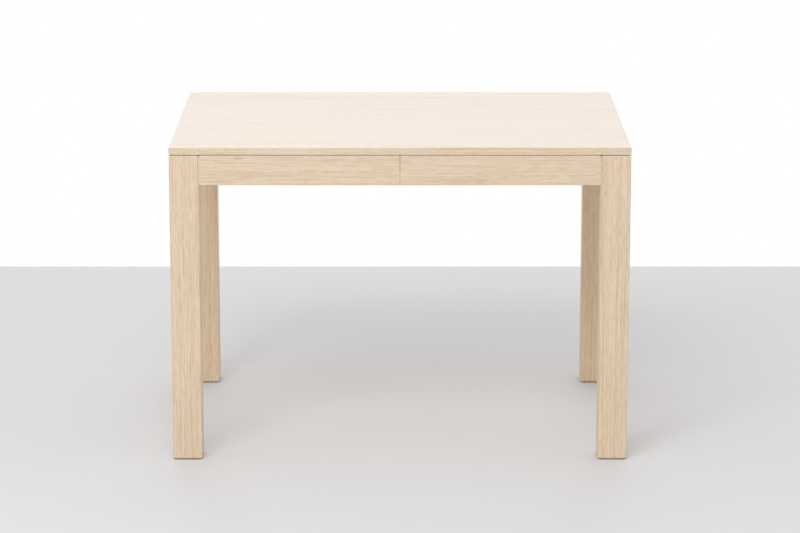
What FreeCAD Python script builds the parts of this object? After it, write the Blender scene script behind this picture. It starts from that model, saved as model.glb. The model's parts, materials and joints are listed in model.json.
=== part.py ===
import FreeCAD, Part
import math
import os
from FreeCAD import Vector

# Extending table, closed. X runs along the extension, the front is -Y and Z is up.
# The origin is on the floor, under the middle of the table. All sizes are in millimetres.

# Table top
top_length = 1100.0
top_depth = 800.0
top_thickness = 18.0
top_edge_ease = 1.5
table_height = 770.0

# Legs and the pads under them
leg_width = 70.0
leg_edge_ease = 1.5
pad_height = 3.0
pad_inset = 5.0
pad_corner_cut = 4.0

# Aprons and their joints with the legs
apron_height = 72.0
apron_thickness = 22.0
apron_edge_ease = 1.0
shadow_gap = 1.0
seam_gap = 0.3
tenon_thickness = 8.0
tenon_length = 30.0
tenon_shoulder = 8.0
mortise_end_gap = 1.0
glue_block_leg = 35.0
glue_block_inset = 9.0

# Strips let into the upper edges of the aprons, on which the top slides
strip_width = 10.0
strip_length = 40.0
strip_seat = 3.0
strip_inset = 110.0

# Dowels across the seam between two half aprons
seam_dowel_radius = 4.0
seam_dowel_bite = 24.0
seam_dowel_reach = 12.0
seam_dowel_rise = 33.0
seam_dowel_spacing = 24.0

# Three-bar slides: left bar, centre bar and right bar, joined by dovetails
bar_width = 23.0
centre_bar_width = 30.0
bar_height = 48.0
bar_headroom = 4.0
bar_to_leg_gap = 5.0
bar_free_end_gap = 38.0
bar_end_chamfer = 2.0
slide_clearance = 0.3
dovetail_neck = 8.0
dovetail_tip = 12.0
dovetail_depth = 6.0
dovetail_rise = 12.0

# Bearer that carries the slide bars at an end apron
bearer_height = 18.0
bearer_width = 30.0
bearer_end_gap = 2.0

# Racks and pinions
gear_module = 2.5
pinion_teeth = 18
pressure_angle = 20.0
gear_play = 0.2
flank_steps = 3
pinion_thickness = 9.0
pinion_rise = 34.0
rack_backing = 3.0
rack_height = 10.0
rack_lead_teeth = 3
rack_end_block = 6.0
window_gap = 2.0
pin_radius = 4.0
pin_fit = 0.05
pin_seat = 12.0
pinion_end_play = 0.3

# Leaves and the runners that store them under the top
leaf_edge_ease = 1.5
leaf_headroom = 4.0
leaf_spacing = 8.0
leaf_storage_play = 3.0
leaf_side_play = 5.0
runner_gap = 1.4
runner_wall = 12.0
runner_ledge = 30.0
runner_length = 760.0
leaf_dowel_radius = 5.0
leaf_dowel_bite = 25.0
leaf_dowel_reach = 10.0
leaf_dowel_inset = 120.0
leaf_dowel_fit = 0.15
dowel_tip_chamfer = 1.5
hardware_sides = 8

# Hook that holds the two half aprons together
hook_thickness = 2.5
hook_width = 12.0
hook_reach = 44.0
hook_end = 7.0
hook_rise = 15.0
hook_face_gap = 1.0
hook_slot_play = 0.4
stud_radius = 2.5
stud_head_radius = 4.5
stud_head_height = 2.0
stud_bite = 14.0
hook_play = 0.3
peg_radius = 2.0
peg_back = 30.0

# Wood screws
screw_radius = 2.5
screw_head_radius = 4.5
screw_tip = 5.0
screw_tip_share = 0.2
top_screw_bite = 11.0
bar_screw_bite = 26.0
apron_screw_bite = 14.0
centre_bar_screw_inset = 60.0
runner_screw_inset = 40.0
bearer_screw_inset = 60.0

# Extra length of a cutting shape past the face that it cuts
overrun = 5.0

# How much of an edge's run has to lie along a direction for the edge to be counted as along it
parallel_share = 0.999

# Heights of the main faces
top_underside = table_height - top_thickness
frame_top = top_underside - shadow_gap
apron_bottom = frame_top - apron_height
bar_top = top_underside - bar_headroom
bar_bottom = bar_top - bar_height

# Faces of the frame, taken at the left front corner
end_face = -top_length / 2
front_face = -top_depth / 2
leg_inner_x = end_face + leg_width
leg_inner_y = front_face + leg_width
end_apron_inner = end_face + apron_thickness
front_apron_inner = front_face + apron_thickness
seam_x = -seam_gap / 2

# The slide bars of the front set, from the front to the back
left_bar_front = leg_inner_y + bar_to_leg_gap
left_bar_back = left_bar_front + bar_width
centre_bar_front = left_bar_back + slide_clearance
slide_axis_y = centre_bar_front + centre_bar_width / 2
right_bar_front = slide_axis_y + centre_bar_width / 2 + slide_clearance
right_bar_back = right_bar_front + bar_width
slide_set_spacing = -2 * slide_axis_y
bar_free_end = -end_apron_inner - bar_free_end_gap

# The gear pair
pitch_radius = gear_module * pinion_teeth / 2
tooth_pitch = math.pi * gear_module
addendum = gear_module
dedendum_share = 1.25
dedendum = dedendum_share * gear_module
pinion_tip_radius = pitch_radius + addendum
pinion_root_radius = pitch_radius - dedendum
rack_tip = pitch_radius - addendum
rack_root = pitch_radius + dedendum
rack_back = rack_root + rack_backing
pinion_middle_z = bar_bottom + pinion_rise
rack_start = -(rack_lead_teeth + 1 / 2) * tooth_pitch - rack_end_block

# The leaves: each is as wide as the frames draw out, so the room between the two slide sets
# and the length of rack beyond the pinion both bear on it
room_between_slides = -2 * (right_bar_back + runner_gap + runner_wall + leaf_side_play) - leaf_dowel_reach
rack_beyond_pinion = bar_free_end - rack_end_block - (rack_lead_teeth + 1) * tooth_pitch
leaf_width = min(room_between_slides, rack_beyond_pinion)
leaf_length = top_depth
leaf_front_y = (leaf_dowel_reach - leaf_width) / 2
slide_travel = leaf_width
rack_last_tooth = math.floor(slide_travel / tooth_pitch) + rack_lead_teeth

# The leaf runners stand in front of the leaves and behind them
runner_wall_y = leaf_front_y - leaf_dowel_reach - leaf_side_play
runner_outer_y = runner_wall_y - runner_wall
runner_inner_y = runner_wall_y + runner_ledge

# Heights of the stored leaves
upper_leaf_bottom = top_underside - leaf_headroom - top_thickness
lower_leaf_bottom = upper_leaf_bottom - leaf_spacing - top_thickness
ledge_thickness = leaf_spacing - leaf_storage_play
runner_bottom = lower_leaf_bottom - ledge_thickness

# The hook and its studs, on the inner face of the front apron
hook_z = apron_bottom + hook_rise
hook_pivot_x = -hook_reach / 2
hook_plate_y = front_apron_inner + hook_face_gap


def block(low, high):
    """A block between two opposite corners."""
    size = high - low
    return Part.makeBox(size.x, size.y, size.z, low)


def turned(shape):
    """A copy turned half a turn about the table's middle."""
    copy = shape.copy()
    copy.rotate(Vector(0, 0, 0), Vector(0, 0, 1), 180)
    return copy


def moved(shape, offset):
    """A copy moved by an offset."""
    copy = shape.copy()
    copy.translate(offset)
    return copy


def mirrored(shape):
    """A copy mirrored from the front to the back."""
    return shape.mirror(Vector(0, 0, 0), Vector(0, 1, 0))


def placed(shape, position, direction):
    """A shape made along +Z from the origin, set at a position along a direction."""
    copy = shape.copy()
    copy.Placement = FreeCAD.Placement(position, FreeCAD.Rotation(Vector(0, 0, 1), direction))
    return copy


def edges_along(shape, direction):
    """The straight edges that run along a direction."""
    found = []
    for edge in shape.Edges:
        ends = edge.Vertexes
        run = ends[-1].Point - ends[0].Point
        if abs(run.dot(direction)) > run.Length * parallel_share:
            found.append(edge)
    return found


def flat_face(corners):
    """A flat face through its corners."""
    return Part.Face(Part.makePolygon(corners + corners[:1]))


def extruded(corners, along):
    """A prism with a polygon outline."""
    return flat_face(corners).extrude(along)


def ring(radius, height):
    """The corners of a regular polygon about Z."""
    step = 2 * math.pi / hardware_sides
    return [
        Vector(radius * math.cos(side * step), radius * math.sin(side * step), height)
        for side in range(hardware_sides)
    ]


def many_sided(points):
    """A solid about Z through (radius, height) points, with few flat sides, for small hardware."""
    rings = [ring(radius, height) for radius, height in points]
    faces = [flat_face(rings[0]), flat_face(rings[-1])]
    for lower, upper in zip(rings, rings[1:]):
        for side in range(hardware_sides):
            faces.append(flat_face([lower[side - 1], lower[side], upper[side], upper[side - 1]]))
    return Part.Solid(Part.Shell(faces))


def rod(radius, position, direction, length):
    """A plain round rod or the cutter for a bore."""
    return Part.makeCylinder(radius, length, position, direction)


def cut_by(shape, tools):
    """A shape with every one of the tools cut out of it."""
    for tool in tools:
        shape = shape.cut(tool)
    return shape


def screw(position, direction, length):
    """A countersunk wood screw, from the middle of its head's flat."""
    head_height = screw_head_radius - screw_radius
    body = many_sided([
        (screw_head_radius, 0),
        (screw_radius, head_height),
        (screw_radius, length - screw_tip),
        (screw_radius * screw_tip_share, length),
    ])
    return placed(body, position, direction)


def dowel(radius, position, direction, length):
    """A fluted dowel with a chamfer at each end."""
    body = many_sided([
        (radius - dowel_tip_chamfer, 0),
        (radius, dowel_tip_chamfer),
        (radius, length - dowel_tip_chamfer),
        (radius - dowel_tip_chamfer, length),
    ])
    return placed(body, position, direction)


def stud(position, direction):
    """A headed stud: the neck stands out of the apron and the rest is in its bore."""
    neck = hook_face_gap + hook_thickness + hook_play
    shank = many_sided([(stud_radius, -stud_bite), (stud_radius, neck)])
    head = many_sided([
        (stud_head_radius, neck),
        (stud_head_radius, neck + stud_head_height / 2),
        (stud_radius, neck + stud_head_height),
    ])
    return placed(shank.fuse(head), position, direction)


def many_sided_rod(radius, position, direction, length):
    """A rod with few flat sides, for a peg or for the cutter of a dowel's bore."""
    return placed(many_sided([(radius, 0), (radius, length)]), position, direction)


def board(low, high, ease):
    """A flat board with every edge eased."""
    body = block(low, high)
    return body.makeChamfer(ease, body.Edges)


def leaf_dowel_places():
    """The places of the leaf dowels along a leaf's long edge."""
    reach = leaf_length / 2 - leaf_dowel_inset
    return [-reach, 0, reach]


def centre_bar_screws():
    """The screws that hold the front centre bar to the top."""
    reach = bar_free_end - centre_bar_screw_inset
    near = centre_bar_screw_inset
    length = top_underside + top_screw_bite - bar_bottom
    return [
        screw(Vector(x, slide_axis_y, bar_bottom), Vector(0, 0, 1), length)
        for x in (-reach, -near, near, reach)
    ]


def runner_screws():
    """The screws that hold the front leaf runner to the top."""
    reach = runner_length / 2 - runner_screw_inset
    length = top_underside + top_screw_bite - runner_bottom
    middle = (runner_outer_y + runner_wall_y) / 2
    return [
        screw(Vector(x, middle, runner_bottom), Vector(0, 0, 1), length)
        for x in (-reach, 0, reach)
    ]


def tabletop(screws):
    """The one-piece top, with bores in its ends for the leaf dowels."""
    low = Vector(end_face, front_face, top_underside)
    high = Vector(-end_face, -front_face, table_height)
    top = board(low, high, top_edge_ease)
    depth = leaf_dowel_reach + leaf_dowel_fit
    middle_z = top_underside + top_thickness / 2
    radius = leaf_dowel_radius + leaf_dowel_fit
    for y in leaf_dowel_places():
        start = Vector(end_face - overrun, y, middle_z)
        bore = many_sided_rod(radius, start, Vector(1, 0, 0), depth + overrun)
        top = cut_by(top, [bore, turned(bore)])
    return cut_by(top, screws)


def dovetail(start, side, clearance):
    """Outline points (y, z) of a dovetail that stands out of the centre bar to one side."""
    face = centre_bar_width / 2
    middle = bar_bottom + dovetail_rise
    slope = (dovetail_tip - dovetail_neck) / 2 / dovetail_depth
    spread = clearance * math.hypot(1, slope)
    tip = dovetail_depth + clearance
    near_half = dovetail_neck / 2 + start * slope + spread
    far_half = dovetail_neck / 2 + tip * slope + spread
    near = slide_axis_y + side * (face + start)
    far = slide_axis_y + side * (face + tip)
    return [
        (near, middle - near_half),
        (far, middle - far_half),
        (far, middle + far_half),
        (near, middle + near_half),
    ]


def centre_bar(screws):
    """The front centre bar: two dovetail tongues and a window for the pinion."""
    half = centre_bar_width / 2
    low = Vector(-bar_free_end, slide_axis_y - half, bar_bottom)
    high = Vector(bar_free_end, slide_axis_y + half, top_underside)
    bar = block(low, high)
    lower_edges = [edge for edge in bar.Edges if edge.CenterOfMass.z < bar_bottom + overrun]
    bar = bar.makeChamfer(bar_end_chamfer, lower_edges)
    for side in (-1, 1):
        outline = [Vector(-bar_free_end, y, z) for y, z in dovetail(0, side, 0)]
        bar = bar.fuse(extruded(outline, Vector(2 * bar_free_end, 0, 0)))
    reach = pinion_tip_radius + window_gap
    window_low = pinion_middle_z - pinion_thickness / 2
    window_high = pinion_middle_z + pinion_thickness / 2 + pinion_end_play
    window = block(
        Vector(-reach, slide_axis_y - half - overrun, window_low),
        Vector(reach, slide_axis_y + half + overrun, window_high),
    )
    pin_bottom = window_low - pin_seat
    pin_bore = rod(pin_radius, Vector(0, slide_axis_y, pin_bottom), Vector(0, 0, 1), bar_height + overrun)
    return cut_by(bar.removeSplitter(), [window, pin_bore] + screws)


def pinion_pin():
    """The upright pin that the front pinion turns on."""
    bottom = pinion_middle_z - pinion_thickness / 2 - pin_seat
    return rod(pin_radius, Vector(0, slide_axis_y, bottom), Vector(0, 0, 1), top_underside - bottom)


def pinion():
    """The front pinion, with involute teeth; at rest a gap faces each rack."""
    angle = math.radians(pressure_angle)
    base_radius = pitch_radius * math.cos(angle)
    half_tooth = (tooth_pitch / 2 - gear_play) / 2 / pitch_radius
    half_at_base = half_tooth + math.tan(angle) - angle
    bottom = pinion_middle_z - pinion_thickness / 2
    flank = [(pinion_root_radius, half_at_base)]
    for step in range(flank_steps + 1):
        radius = base_radius + (pinion_tip_radius - base_radius) * step / flank_steps
        roll = math.acos(base_radius / radius)
        flank.append((radius, half_at_base - math.tan(roll) + roll))
    corners = []
    for tooth in range(pinion_teeth):
        middle = tooth * 2 * math.pi / pinion_teeth
        turns = [(radius, middle - half) for radius, half in flank]
        turns += [(radius, middle + half) for radius, half in reversed(flank)]
        for radius, turn in turns:
            x = radius * math.cos(turn)
            y = slide_axis_y + radius * math.sin(turn)
            corners.append(Vector(x, y, bottom))
    gear = extruded(corners, Vector(0, 0, pinion_thickness))
    bore = rod(pin_radius + pin_fit, Vector(0, slide_axis_y, bottom), Vector(0, 0, 1), pinion_thickness)
    return gear.cut(bore)


def rack():
    """The rack of the left front bar, toothed where the pinion runs and uncut at its ends."""
    slope = math.tan(math.radians(pressure_angle))
    half_at_pitch = (tooth_pitch / 2 - gear_play) / 2
    half_at_tip = half_at_pitch - addendum * slope
    half_at_root = half_at_pitch + dedendum * slope
    tip_y = slide_axis_y - rack_tip
    root_y = slide_axis_y - rack_root
    back_y = slide_axis_y - rack_back
    bottom = pinion_middle_z - rack_height / 2
    points = [Vector(rack_start, back_y, bottom), Vector(rack_start, tip_y, bottom)]
    first_gap = -(rack_lead_teeth + 1 / 2) * tooth_pitch
    points.append(Vector(first_gap - half_at_tip, tip_y, bottom))
    points.append(Vector(first_gap, root_y, bottom))
    for tooth in range(-rack_lead_teeth, rack_last_tooth + 1):
        middle = tooth * tooth_pitch
        points.append(Vector(middle - half_at_root, root_y, bottom))
        points.append(Vector(middle - half_at_tip, tip_y, bottom))
        points.append(Vector(middle + half_at_tip, tip_y, bottom))
        points.append(Vector(middle + half_at_root, root_y, bottom))
    last_gap = (rack_last_tooth + 1 / 2) * tooth_pitch
    points.append(Vector(last_gap, root_y, bottom))
    points.append(Vector(last_gap + half_at_tip, tip_y, bottom))
    points.append(Vector(bar_free_end, tip_y, bottom))
    points.append(Vector(bar_free_end, back_y, bottom))
    return extruded(points, Vector(0, 0, rack_height))


def slide_bar(screws):
    """The left front slide bar, with its dovetail groove and the seat of its rack."""
    low = Vector(end_apron_inner, left_bar_front, bar_bottom)
    high = Vector(bar_free_end, left_bar_back, bar_top)
    bar = block(low, high)
    bar = bar.makeChamfer(bar_end_chamfer, edges_along(bar, Vector(1, 0, 0)))
    outline = [
        Vector(end_apron_inner - overrun, y, z)
        for y, z in dovetail(-overrun / 2, -1, slide_clearance)
    ]
    groove = extruded(outline, Vector(bar_free_end - end_apron_inner + 2 * overrun, 0, 0))
    rack_seat = block(
        Vector(rack_start, slide_axis_y - rack_back, pinion_middle_z - rack_height / 2),
        Vector(bar_free_end + overrun, left_bar_back + overrun, pinion_middle_z + rack_height / 2),
    )
    return cut_by(bar, [groove, rack_seat] + screws)


def bearer_screws():
    """The screws through the left bearer, up into the bars and outwards into the end apron."""
    bearer_bottom = bar_bottom - bearer_height
    middle_x = end_apron_inner + bearer_width / 2
    bar_middle = (left_bar_front + left_bar_back) / 2
    up_length = bearer_height + bar_screw_bite
    out_length = bearer_width + apron_screw_bite
    inner_x = end_apron_inner + bearer_width
    middle_z = bar_bottom - bearer_height / 2
    reach = -leg_inner_y - bearer_screw_inset
    up = [
        screw(Vector(middle_x, y, bearer_bottom), Vector(0, 0, 1), up_length)
        for y in (bar_middle, bar_middle + slide_set_spacing)
    ]
    out = [
        screw(Vector(inner_x, y, middle_z), Vector(-1, 0, 0), out_length)
        for y in (-reach, 0, reach - bearer_screw_inset)
    ]
    return up, out


def bearer(screws):
    """The cross batten on the left end apron that the slide bars lie on."""
    reach = -leg_inner_y - bearer_end_gap
    low = Vector(end_apron_inner, -reach, bar_bottom - bearer_height)
    high = Vector(end_apron_inner + bearer_width, reach, bar_bottom)
    batten = block(low, high)
    return cut_by(batten, screws)


def tenon_block(low, high):
    """The tenon with its shoulders above and below; low and high give its plan."""
    return block(
        Vector(low.x, low.y, apron_bottom + tenon_shoulder),
        Vector(high.x, high.y, frame_top - tenon_shoulder),
    )


def front_tenon(end_gap):
    """The tenon of the left front apron, which is also the cutter for its mortise."""
    middle = front_face + apron_thickness / 2
    return tenon_block(
        Vector(leg_inner_x - tenon_length - end_gap, middle - tenon_thickness / 2, 0),
        Vector(leg_inner_x + end_gap, middle + tenon_thickness / 2, 0),
    )


def end_tenon(end_gap):
    """The front tenon of the left end apron, which is also the cutter for its mortise."""
    middle = end_face + apron_thickness / 2
    return tenon_block(
        Vector(middle - tenon_thickness / 2, leg_inner_y - tenon_length - end_gap, 0),
        Vector(middle + tenon_thickness / 2, leg_inner_y + end_gap, 0),
    )


def front_leg():
    """The left front leg, with eased edges and two mortises."""
    leg = block(
        Vector(end_face, front_face, pad_height),
        Vector(leg_inner_x, leg_inner_y, frame_top),
    )
    leg = leg.makeChamfer(leg_edge_ease, leg.Edges)
    return cut_by(leg, [front_tenon(mortise_end_gap), end_tenon(mortise_end_gap)])


def pad():
    """The square pad under the left front leg."""
    inset = Vector(pad_inset, pad_inset, 0)
    low = Vector(end_face, front_face, 0) + inset
    high = Vector(leg_inner_x, leg_inner_y, pad_height) - inset
    plate = block(low, high)
    return plate.makeChamfer(pad_corner_cut, edges_along(plate, Vector(0, 0, 1)))


def seam_dowel_heights():
    """The heights of the two dowels across a seam."""
    lower = apron_bottom + seam_dowel_rise
    return [lower, lower + seam_dowel_spacing]


def seam_dowels():
    """The dowels in the seam end of the left front apron."""
    middle = front_face + apron_thickness / 2
    length = seam_dowel_bite + seam_dowel_reach
    start = seam_x - seam_dowel_bite
    return [
        dowel(seam_dowel_radius, Vector(start, middle, z), Vector(1, 0, 0), length)
        for z in seam_dowel_heights()
    ]


def half_apron():
    """The left front half apron without bores: eased edges and one tenon."""
    low = Vector(leg_inner_x, front_face, apron_bottom)
    high = Vector(seam_x, front_apron_inner, frame_top)
    apron = block(low, high)
    chosen = [edge for edge in apron.Edges if edge.CenterOfMass.x > leg_inner_x + overrun]
    apron = apron.makeChamfer(apron_edge_ease, chosen)
    return apron.fuse(front_tenon(0))


def slide_strip(x, y, size_x, size_y):
    """A strip let into the upper edge of an apron; the top slides on it."""
    half = Vector(size_x, size_y, 0) / 2
    middle = Vector(x, y, 0)
    return block(middle - half + Vector(0, 0, frame_top - strip_seat),
                 middle + half + Vector(0, 0, frame_top + shadow_gap))


def slide_strips():
    """The strips of the left frame: two on each half apron and two on the end apron."""
    front_y = front_face + apron_thickness / 2
    end_x = end_face + apron_thickness / 2
    end_y = -leg_inner_y - strip_inset
    strips = []
    for side in (-1, 1):
        for x in (leg_inner_x + strip_inset, seam_x - strip_inset):
            strips.append(slide_strip(x, side * front_y, strip_length, strip_width))
        strips.append(slide_strip(end_x, side * end_y, strip_width, strip_length))
    return strips


def hook_stud():
    """The stud that the front hook turns on, in the left front apron."""
    return stud(Vector(hook_pivot_x, front_apron_inner, hook_z), Vector(0, 1, 0))


def catch_stud():
    """The stud in the left rear apron that the rear hook drops over."""
    return stud(Vector(hook_pivot_x, -front_apron_inner, hook_z), Vector(0, -1, 0))


def hook_peg():
    """The plain peg in the left front apron that the hook lies on when it is laid back."""
    place = Vector(hook_pivot_x - peg_back, front_apron_inner - stud_bite,
                   hook_z - hook_width / 2 - hook_play - peg_radius)
    return many_sided_rod(peg_radius, place, Vector(0, 1, 0), stud_bite + hook_face_gap + hook_thickness)


def front_half_apron(tools):
    """The left front half apron, which carries the seam dowels and the hook."""
    return cut_by(half_apron(), tools)


def rear_half_apron(tools):
    """The left rear half apron, whose bores take the dowels of the other frame."""
    apron = mirrored(half_apron())
    depth = seam_dowel_reach + seam_gap + slide_clearance
    middle = -front_face - apron_thickness / 2
    bores = [
        many_sided_rod(seam_dowel_radius + slide_clearance, Vector(seam_x + overrun, middle, z),
                        Vector(-1, 0, 0), depth + overrun)
        for z in seam_dowel_heights()
    ]
    return cut_by(apron, bores + tools)


def end_apron(tools):
    """The left end apron, between the two left legs."""
    low = Vector(end_face, leg_inner_y, apron_bottom)
    high = Vector(end_apron_inner, -leg_inner_y, frame_top)
    apron = block(low, high)
    apron = apron.makeChamfer(apron_edge_ease, edges_along(apron, Vector(0, 1, 0)))
    apron = apron.fuse(end_tenon(0)).fuse(mirrored(end_tenon(0)))
    return cut_by(apron, tools)


def glue_block():
    """The three-cornered block between the left front leg and the half apron."""
    bottom = apron_bottom + glue_block_inset
    height = apron_height - 2 * glue_block_inset
    points = [
        Vector(leg_inner_x, front_apron_inner, bottom),
        Vector(leg_inner_x + glue_block_leg, front_apron_inner, bottom),
        Vector(leg_inner_x, front_apron_inner + glue_block_leg, bottom),
    ]
    return extruded(points, Vector(0, 0, height))


def seam_hook():
    """The front hook, laid back along the left apron; its slot drops over the catch stud."""
    half = hook_width / 2
    tip_x = hook_pivot_x - hook_reach - hook_end
    arm = block(
        Vector(tip_x, hook_plate_y, hook_z - half),
        Vector(hook_pivot_x + half, hook_plate_y + hook_thickness, hook_z + half),
    )
    arm = arm.makeChamfer(half / 2, edges_along(arm, Vector(0, 1, 0)))
    slot_radius = stud_radius + hook_slot_play
    slot_x = hook_pivot_x - hook_reach
    slot = block(
        Vector(slot_x - slot_radius, hook_plate_y - overrun, hook_z),
        Vector(slot_x + slot_radius, hook_plate_y + hook_thickness + overrun, hook_z + half + overrun),
    )
    slot_end = rod(slot_radius, Vector(slot_x, hook_plate_y - overrun, hook_z), Vector(0, 1, 0),
                   hook_thickness + 2 * overrun)
    pivot = rod(stud_radius + hook_slot_play / 2, Vector(hook_pivot_x, hook_plate_y - overrun, hook_z),
                Vector(0, 1, 0), hook_thickness + 2 * overrun)
    return cut_by(arm, [slot, slot_end, pivot])


def leaf_runner(screws):
    """The front leaf runner: a wall with a ledge under each stored leaf."""
    reach = runner_length / 2
    wall = block(
        Vector(-reach, runner_outer_y, runner_bottom),
        Vector(reach, runner_wall_y, top_underside),
    )
    for leaf_bottom in (upper_leaf_bottom, lower_leaf_bottom):
        ledge = block(
            Vector(-reach, runner_wall_y, leaf_bottom - ledge_thickness),
            Vector(reach, runner_inner_y, leaf_bottom),
        )
        wall = wall.fuse(ledge)
    return cut_by(wall.removeSplitter(), screws)


def leaf_dowels(bottom):
    """The dowels in the front edge of a stored leaf."""
    length = leaf_dowel_bite + leaf_dowel_reach
    start = leaf_front_y + leaf_dowel_bite
    middle_z = bottom + top_thickness / 2
    return [
        dowel(leaf_dowel_radius, Vector(x, start, middle_z), Vector(0, -1, 0), length)
        for x in leaf_dowel_places()
    ]


def leaf(bottom, dowels):
    """A stored leaf, turned so that its long edges run along the table."""
    low = Vector(-leaf_length / 2, leaf_front_y, bottom)
    high = Vector(leaf_length / 2, leaf_front_y + leaf_width, bottom + top_thickness)
    return cut_by(board(low, high, leaf_edge_ease), dowels)


def frame_pieces():
    """The pieces of the left frame, by name."""
    up_screws, out_screws = bearer_screws()
    dowels = seam_dowels()
    strips = slide_strips()
    bar = slide_bar(up_screws[:1])
    to_rear_set = Vector(0, slide_set_spacing, 0)
    return {
        "front_leg": front_leg(),
        "rear_leg": mirrored(front_leg()),
        "front_pad": pad(),
        "rear_pad": mirrored(pad()),
        "front_apron": front_half_apron(dowels + strips + [hook_stud(), hook_peg()]),
        "rear_apron": rear_half_apron(strips + [catch_stud()]),
        "end_apron": end_apron(strips + out_screws),
        "bearer": bearer(up_screws + out_screws),
        "front_slide_bar": bar,
        "rear_slide_bar": moved(bar, to_rear_set),
        "front_rack": rack(),
        "rear_rack": moved(rack(), to_rear_set),
        "glue_blocks": Part.makeCompound([glue_block(), mirrored(glue_block())]),
        "bearer_screws": Part.makeCompound(up_screws + out_screws),
        "slide_strips": Part.makeCompound(strips),
        "seam_dowels": Part.makeCompound(dowels),
        "hook_stud": hook_stud(),
        "hook_peg": hook_peg(),
        "catch_stud": catch_stud(),
    }


def far_name(name):
    """The name of a left frame's piece after half a turn, where front and rear change places."""
    if name.startswith("front_"):
        return name.replace("front_", "rear_")
    return name.replace("rear_", "front_")


def all_pieces():
    """Every piece of the table, by node name."""
    pieces = {}
    bar_screws = centre_bar_screws()
    rail_screws = runner_screws()
    top_screws = bar_screws + rail_screws
    top_screws = top_screws + [turned(item) for item in top_screws]
    pieces["tabletop"] = tabletop(top_screws)
    pieces["front_centre_bar"] = centre_bar(bar_screws)
    pieces["rear_centre_bar"] = turned(pieces["front_centre_bar"])
    pieces["front_leaf_runner"] = leaf_runner(rail_screws)
    pieces["rear_leaf_runner"] = turned(pieces["front_leaf_runner"])
    pieces["centre_bar_screws"] = Part.makeCompound(bar_screws + [turned(item) for item in bar_screws])
    pieces["leaf_runner_screws"] = Part.makeCompound(rail_screws + [turned(item) for item in rail_screws])
    pieces["pinion_pins"] = Part.makeCompound([pinion_pin(), turned(pinion_pin())])
    pieces["front_pinion"] = pinion()
    pieces["rear_pinion"] = turned(pieces["front_pinion"])
    for name, shape in frame_pieces().items():
        pieces["left_" + name] = shape
        pieces["right_" + far_name(name)] = turned(shape)
    pieces["front_seam_hook"] = seam_hook()
    pieces["rear_seam_hook"] = turned(pieces["front_seam_hook"])
    upper_dowels = leaf_dowels(upper_leaf_bottom)
    lower_dowels = leaf_dowels(lower_leaf_bottom)
    pieces["upper_leaf"] = leaf(upper_leaf_bottom, upper_dowels)
    pieces["upper_leaf_dowels"] = Part.makeCompound(upper_dowels)
    pieces["lower_leaf"] = turned(leaf(lower_leaf_bottom, lower_dowels))
    pieces["lower_leaf_dowels"] = turned(Part.makeCompound(lower_dowels))
    return pieces


os.makedirs("parts", exist_ok=True)
for node, shape in all_pieces().items():
    shape.exportStep("parts/" + node + ".step")
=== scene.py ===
import functools
import json
import math
import random

import bmesh
import bpy
from bpy.props import FloatProperty, FloatVectorProperty, IntProperty, PointerProperty
from bpy.types import Operator, Panel, PropertyGroup
from mathutils import Matrix, Vector


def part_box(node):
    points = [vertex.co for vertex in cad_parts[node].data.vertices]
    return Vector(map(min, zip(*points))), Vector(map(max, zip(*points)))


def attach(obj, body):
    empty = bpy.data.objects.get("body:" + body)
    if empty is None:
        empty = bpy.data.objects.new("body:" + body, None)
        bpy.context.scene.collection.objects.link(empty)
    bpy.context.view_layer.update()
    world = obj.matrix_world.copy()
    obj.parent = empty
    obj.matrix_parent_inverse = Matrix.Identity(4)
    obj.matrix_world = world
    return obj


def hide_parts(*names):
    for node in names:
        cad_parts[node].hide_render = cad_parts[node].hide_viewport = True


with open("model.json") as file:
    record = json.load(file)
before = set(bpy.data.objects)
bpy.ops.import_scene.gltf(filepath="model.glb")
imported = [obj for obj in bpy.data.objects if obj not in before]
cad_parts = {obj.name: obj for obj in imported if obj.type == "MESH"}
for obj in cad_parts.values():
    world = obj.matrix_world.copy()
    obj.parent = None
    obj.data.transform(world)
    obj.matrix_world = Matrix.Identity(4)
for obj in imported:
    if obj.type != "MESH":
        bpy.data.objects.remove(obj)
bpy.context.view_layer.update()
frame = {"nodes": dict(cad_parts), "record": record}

bl_info = {
    "name": "Extending table",
    "version": (1, 0, 0),
    "blender": (4, 5, 0),
    "location": "3D Viewport > Sidebar > Table",
    "description": "Makes the pieces of an oak extending table on its packed frame",
    "category": "Object",
}

MM = 0.001
BODY_OF = {node: body for body, nodes in frame["record"]["behaviour"]["bodies"].items() for node in nodes}

# Faces of the frame that several pieces share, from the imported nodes
LEG_LOW, LEG_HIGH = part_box("left_front_leg")
APRON_LOW, APRON_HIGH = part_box("left_front_apron")
APRON_Y = (APRON_LOW.y + APRON_HIGH.y) / 2
END_LOW, END_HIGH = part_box("left_end_apron")
TOP_LOW, TOP_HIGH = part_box("tabletop")

# The corners, and what takes a piece on the left to the right, or one at the front to the rear
CORNERS = ("left_front", "left_rear", "right_front", "right_rear")
OPPOSITE = {"left": "right", "right": "left", "front": "rear", "rear": "front"}
HALF_TURN = Matrix.Rotation(math.pi, 4, "Z")
FRONT_TO_REAR = Matrix.Scale(-1, 4, (0, 1, 0))

# How the meshes are worked
WELD = 0.005 * MM           # points nearer than this are one
NEAR = 0.1 * MM             # an edge nearer than this to a plane is on it
PAST = 1 * MM               # how far a cutter or a joined solid runs past the face that it meets
FLAT = math.radians(0.5)    # faces that meet at less than this are one
SHARP = math.radians(40)    # an edge is eased where its faces meet at more than this
SMOOTH = math.radians(38)   # faces that meet at less than this are shaded as one
ALONG, FACING = 0.999, 0.9  # the least share along an axis of an edge that runs and a face that looks that way
BORE_SIDES, SCREW_SIDES, DOWEL_SIDES, RECESS_SIDES = 24, 20, 36, 48


# Sizes and colours that a maker would change

def length(name, description, default, low=0.0, high=1.0):
    """A length in metres."""
    return FloatProperty(name=name, description=description, default=default, min=low, max=high,
                         unit="LENGTH", precision=5)


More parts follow.
